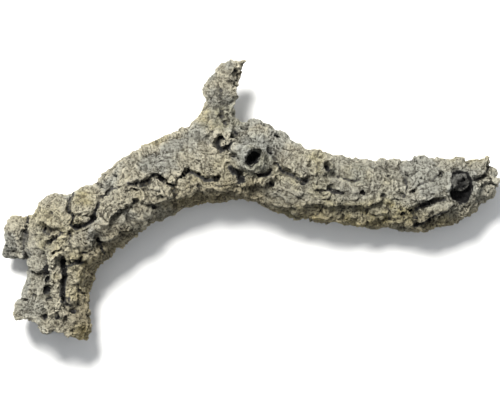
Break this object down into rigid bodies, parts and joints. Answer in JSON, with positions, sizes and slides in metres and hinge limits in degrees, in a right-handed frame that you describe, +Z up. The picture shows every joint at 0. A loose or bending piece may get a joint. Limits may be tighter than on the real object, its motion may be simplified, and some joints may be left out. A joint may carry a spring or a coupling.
{
  "type": "cork branch",
  "caption": "Weathered cork oak branch with a bent leg, a short upright branch, a broken side stub and knot holes, lying flat.",
  "frame": {"origin": "middle of the branch's outline seen from above, on the surface it lies on", "axes": "+X along the branch from its leg to its knotted end, +Y towards the short upright branch, +Z up from the surface towards the knots"},
  "size_m": [0.5979, 0.3345, 0.0941],
  "materials": {
    "limb_bark": "matt, weathered grey cork bark",
    "upright_bark": "matt, weathered grey cork bark",
    "stub_bark": "matt, weathered grey cork bark"
  },
  "bodies": {
    "root": {"main_limb": "limb_bark", "upright_branch": "upright_bark", "side_stub": "stub_bark"}
  },
  "joints": []
}
